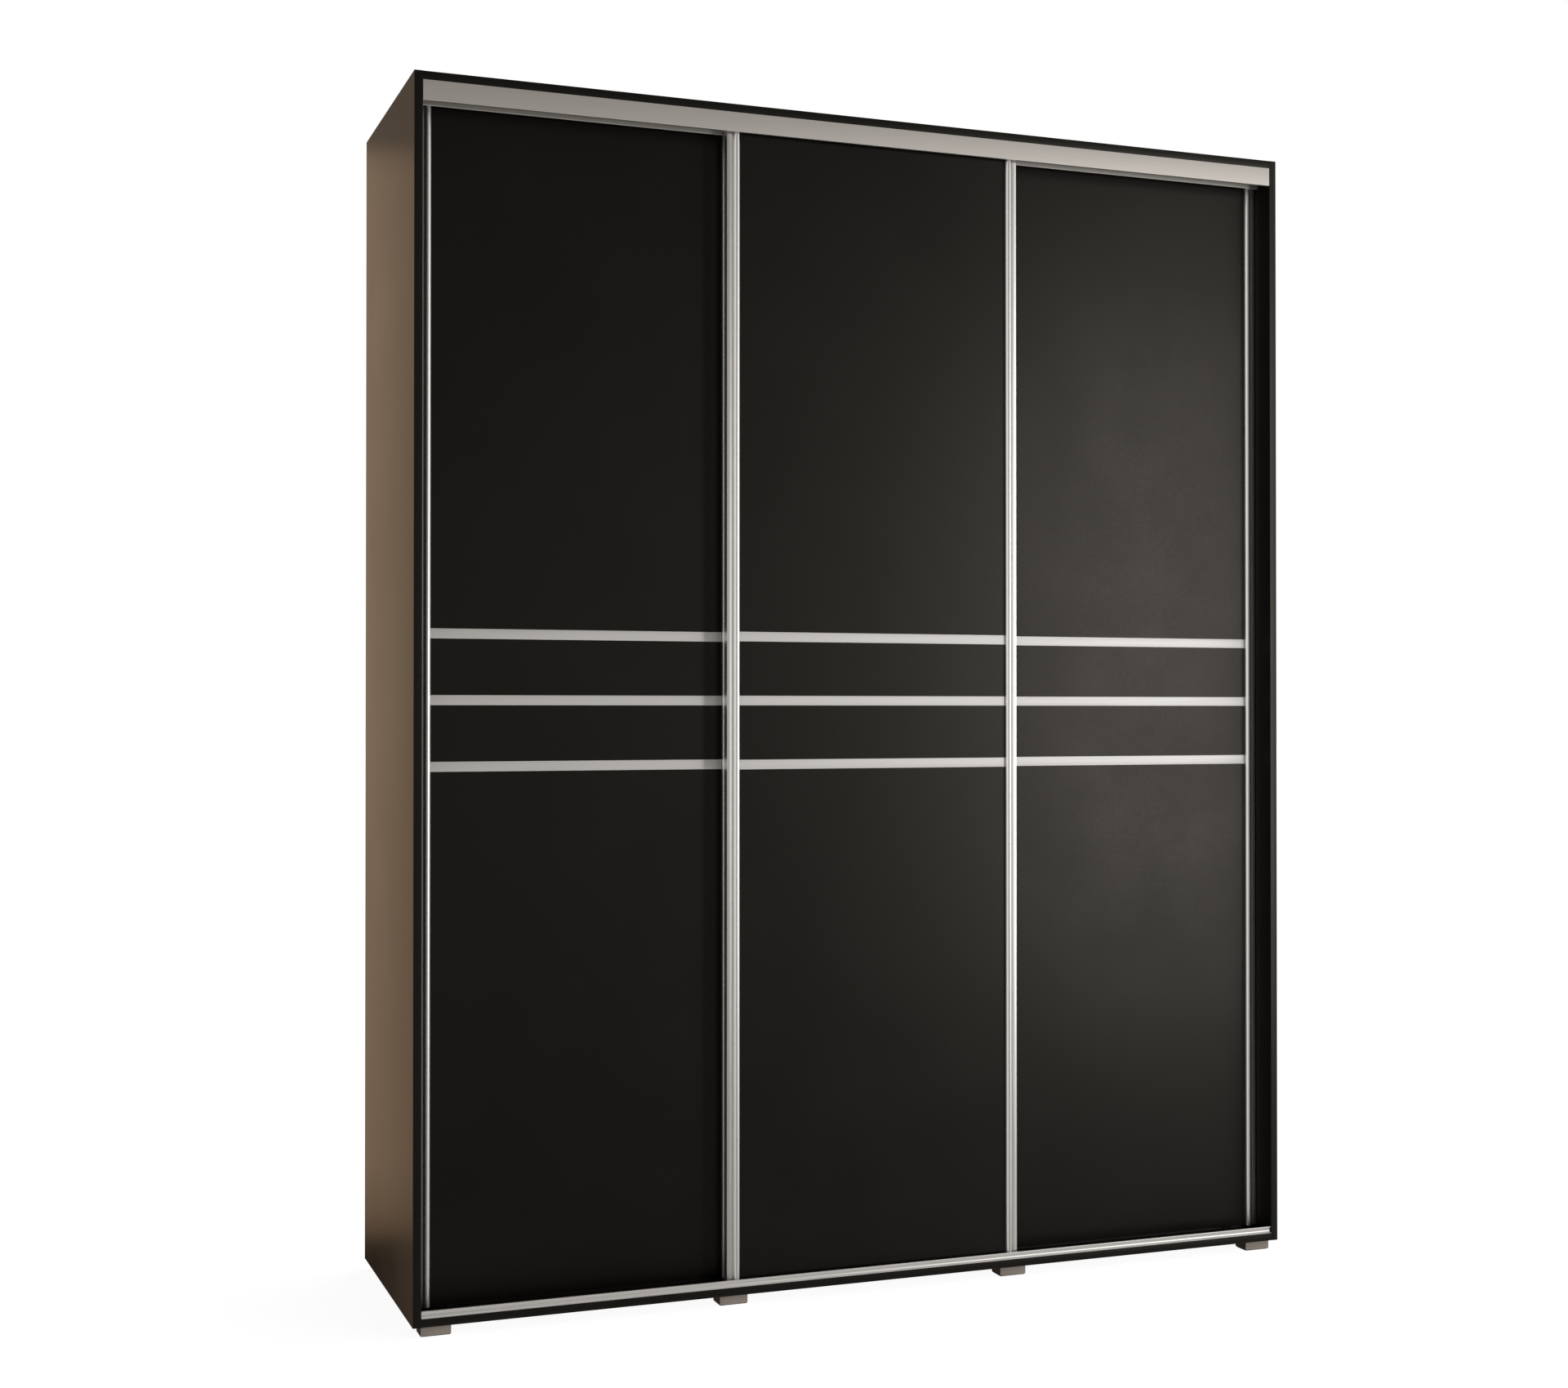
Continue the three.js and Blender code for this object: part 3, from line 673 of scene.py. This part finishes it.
def add_rail_stop(name, sign, rail_y, base_z, rail_top):
    """A plastic buffer clipped over the end of a rail, which a door's outer wheel meets."""
    wheel_low, wheel_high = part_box("right_door_right_wheel")
    # The buffer's end is this far out from the axle of a wheel at its limit, just clear of the rim.
    from_axle = 12.5 * MM
    contact = (wheel_low.x + wheel_high.x) / 2 + from_axle
    length = 20 * MM
    half = 6 * MM
    slot = RAIL_HALF + 0.15 * MM
    top = base_z + 6.1 * MM
    under = base_z + 0.1 * MM
    over_rail = rail_top + 0.15 * MM
    corner = 1.5 * MM
    section = ([(rail_y - half, under), (rail_y - slot, under), (rail_y - slot, over_rail)]
               + [(rail_y + slot, over_rail), (rail_y + slot, under), (rail_y + half, under)]
               + arc((rail_y + half - corner, top - corner), (corner, corner), 0, 90, 4)
               + arc((rail_y - half + corner, top - corner), (corner, corner), 90, 180, 4))
    bm = bmesh.new()
    ends = sorted((sign * contact, sign * (contact + length)))
    extrude(bm, [section], "X", ends[0], ends[1])
    link_mesh(name, bm, DARK_PLASTIC, "carcass", bevel=0.4 * MM)


# ---------------------------------------------------------------- doors
FLANGE_WIDTH = 10.9 * MM
BEAD_PROUD = 7.8 * MM
STILE_WALL = 1.4 * MM


def add_stile(door, side, sign):
    """The handle stile of one door edge: a flat flange, a groove and a smooth hollow bead."""
    node = f"{door}_door_{side}_stile"
    low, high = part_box(node)
    edge = low.x if sign < 0 else high.x
    width = high.x - low.x
    flange_front = low.y + BEAD_PROUD
    flange_ease = 0.3 * MM
    groove = 0.6 * MM
    groove_bottom = flange_front + 0.8 * MM
    bead_wall = 1.3 * MM
    bead_start = FLANGE_WIDTH + groove
    half = (width - bead_start) / 2
    centre = (bead_start + half, flange_front)
    channel_front = flange_front + 1.2 * MM
    channel_back = high.y - STILE_WALL
    back_reach = 20 * MM
    ease = 0.5 * MM
    outer = arc((ease, flange_front + ease), (ease, ease), 180, 270, 4)
    outer += arc((FLANGE_WIDTH - flange_ease, flange_front + flange_ease), (flange_ease, flange_ease),
                 270, 360, 3)
    outer += [(FLANGE_WIDTH, groove_bottom), (bead_start, groove_bottom)]
    outer += arc(centre, (half, BEAD_PROUD), -180, 0, 48)
    outer += [(width, channel_front), (STILE_WALL, channel_front), (STILE_WALL, channel_back)]
    outer += [(back_reach, channel_back), (back_reach, high.y)]
    outer += arc((ease, high.y - ease), (ease, ease), 90, 180, 4)
    chamber = arc(centre, (half - bead_wall, BEAD_PROUD - bead_wall), -180, 0, 24)
    loops = [[(edge - sign * u, v) for u, v in loop] for loop in (outer, chamber)]
    bm = bmesh.new()
    extrude(bm, loops, "Z", low.z, high.z)
    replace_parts(link_mesh(f"{node}_profile", bm, ALU_UP, f"{door}_door", 25), node)


def add_strip(door, level):
    """A flat strip with eased long edges."""
    node = f"{door}_door_strip_{level}"
    low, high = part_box(node)
    edge = 0.25 * MM
    section = [(high.y, low.z), (high.y, high.z)]
    section += arc((low.y + edge, high.z - edge), (edge, edge), 90, 180, 3)
    section += arc((low.y + edge, low.z + edge), (edge, edge), 180, 270, 3)
    bm = bmesh.new()
    extrude(bm, [section], "X", low.x, high.x)
    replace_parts(link_mesh(f"{node}_bar", bm, ALU_ALONG, f"{door}_door"), node)


def add_wheel(door, side):
    """A grooved nylon wheel on a steel bearing."""
    node = f"{door}_door_{side}_wheel"
    low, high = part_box(node)
    centre = (low + high) / 2
    half = (high.y - low.y) / 2
    flange = (high.x - low.x) / 2
    tread = flange - 2 * MM
    tread_half = 1.8 * MM
    flange_half = 2.7 * MM
    hub = 8 * MM
    ease = 0.6 * MM
    web = half - 0.8 * MM
    side_profile = [(hub, half - 0.5 * MM), (hub + 1.5 * MM, web), (flange - 3 * MM, web),
                    (flange - 2.2 * MM, half), (flange - ease, half), (flange, half - ease),
                    (flange, flange_half), (tread, tread_half)]
    bm = bmesh.new()
    lathe(bm, side_profile + [(r, -h) for r, h in reversed(side_profile)], centre, "Y", 48)
    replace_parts(link_mesh(f"{node}_tyre", bm, NYLON, node), node)
    bore = 3.35 * MM
    race = 0.9 * half
    shield = 0.75 * half
    bm = bmesh.new()
    ring = [(bore, race), (bore + 1.2 * MM, race), (bore + 1.5 * MM, shield),
            (hub - 1.5 * MM, shield), (hub - 1.2 * MM, race), (hub - 0.05 * MM, race)]
    lathe(bm, ring + [(r, -h) for r, h in reversed(ring)], centre, "Y", 40)
    link_mesh(f"{node}_bearing", bm, STEEL, node)


def add_guide(door, side):
    """A nylon guide roller with a steel screw in its top, over a bush on the panel's top edge."""
    node = f"{door}_door_{side}_guide_roller"
    low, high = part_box(node)
    x, y = (low.x + high.x) / 2, (low.y + high.y) / 2
    radius = (high.x - low.x) / 2
    door_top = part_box(f"{door}_door_panel")[1].z
    bottom = door_top + 3 * MM
    hub = 7 * MM
    hub_bottom = door_top + 1.5 * MM
    hub_top = high.z - 0.2 * MM
    axle = 4 * MM
    ease = 1.2 * MM
    chamfer = 0.35 * MM
    dish = high.z - 1.2 * MM
    profile = [(0, low.z), (axle * 0.85, low.z), (axle, low.z + 0.6 * MM), (axle, hub_bottom),
               (hub, hub_bottom), (hub, bottom), (radius - ease, bottom),
               (radius - chamfer, bottom + chamfer), (radius, bottom + ease), (radius, high.z - ease),
               (radius - chamfer, high.z - chamfer), (radius - ease, high.z), (radius - 4 * MM, high.z),
               (radius - 4.6 * MM, dish), (hub, dish), (hub - 0.6 * MM, hub_top), (0, hub_top)]
    bm = bmesh.new()
    lathe(bm, profile, (x, y, 0), "Z", 56)
    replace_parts(link_mesh(f"{node}_tyre", bm, NYLON, node), node)
    add_heads(f"{node}_screw", [(x, y, hub_top)], "Z", 3.4 * MM, 1.1 * MM, STEEL, node)
    bush_bore = axle + 0.2 * MM
    bush = [(bush_bore, 0.05 * MM), (7.5 * MM, 0.05 * MM), (7.5 * MM, 0.8 * MM), (7.1 * MM, 1.2 * MM),
            (bush_bore, 1.2 * MM)]
    bm = bmesh.new()
    lathe(bm, bush, (x, y, door_top), "Z", 40)
    link_mesh(f"{door}_door_{side}_guide_bush", bm, DARK_PLASTIC, f"{door}_door")


def add_carriage_fasteners(door, side):
    """The plate's four screws into the rear of the panel, and the riveted end of the axle."""
    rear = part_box(f"{door}_door_{side}_carriage")[1].y
    wheel_low, wheel_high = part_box(f"{door}_door_{side}_wheel")
    x = (wheel_low.x + wheel_high.x) / 2
    screw_offset = 38 * MM
    screw_heights = (68 * MM, 96 * MM)
    places = [(x + step * screw_offset, rear, z) for step in (-1, 1) for z in screw_heights]
    add_heads(f"{door}_door_{side}_carriage_screws", places, "Y", 3.6 * MM, 1.6 * MM, STEEL, f"{door}_door")
    bm = bmesh.new()
    rivet = [(0, -0.5 * MM), (4 * MM, -0.5 * MM), (4 * MM, 0.4 * MM), (3 * MM, 0.9 * MM), (0, 1.0 * MM)]
    axle_z = (wheel_low.z + wheel_high.z) / 2
    lathe(bm, rivet, (x, rear - 1 * MM, axle_z), "Y", 28)
    link_mesh(f"{door}_door_{side}_axle_rivet", bm, STEEL, f"{door}_door")


def paint(node, material):
    """Gives a CAD piece that stays visible its material."""
    NODES[node].data.materials.clear()
    NODES[node].data.materials.append(material)


# ---------------------------------------------------------------- assembly
def add_carcass():
    """Everything that stays still but the tracks. The outer faces of the sides are glossier."""
    for side, sign in SIDES:
        panel = add_board(f"side_panel_{side}", "Z")
        panel.data.materials.append(OUTER_LAMINATE)
        for face in panel.data.polygons:
            face.material_index = int(face.normal.x * sign > 0.5)
        add_board(f"partition_{side}", "Z")
        add_board(f"hat_shelf_{side}", "X")
        add_cam_covers(f"hat_shelf_{side}", -1, inset_front=60 * MM)
        add_hanging_rail(f"hanging_rail_{side}")
    for level in ("lower", "centre", "upper"):
        add_board(f"mid_shelf_{level}", "X")
        add_shelf_pins(f"mid_shelf_{level}")
    add_board("top_panel", "X")
    add_board("bottom_panel", "X")
    add_cam_covers("top_panel", -1, inset_front=140 * MM)
    add_cam_covers("bottom_panel", 1, inset_front=140 * MM)
    paint("back_panel", HARDBOARD)
    add_back_nails()
    for row in ("front", "back"):
        for column in ("left", "mid_left", "mid_right", "right"):
            add_foot(f"foot_{row}_{column}")


def add_door(door):
    paint(f"{door}_door_panel", DOOR_LAMINATE)
    for side, sign in SIDES:
        add_stile(door, side, sign)
        add_wheel(door, side)
        add_guide(door, side)
        paint(f"{door}_door_{side}_carriage", STEEL)
        add_carriage_fasteners(door, side)
    for level in ("top", "middle", "bottom"):
        add_strip(door, level)


add_camera()
add_world()
add_floor()
add_lights()
bpy.context.scene.view_settings.view_transform = "Standard"
add_carcass()
add_top_track()
add_bottom_track()
for name in DOORS:
    add_door(name)
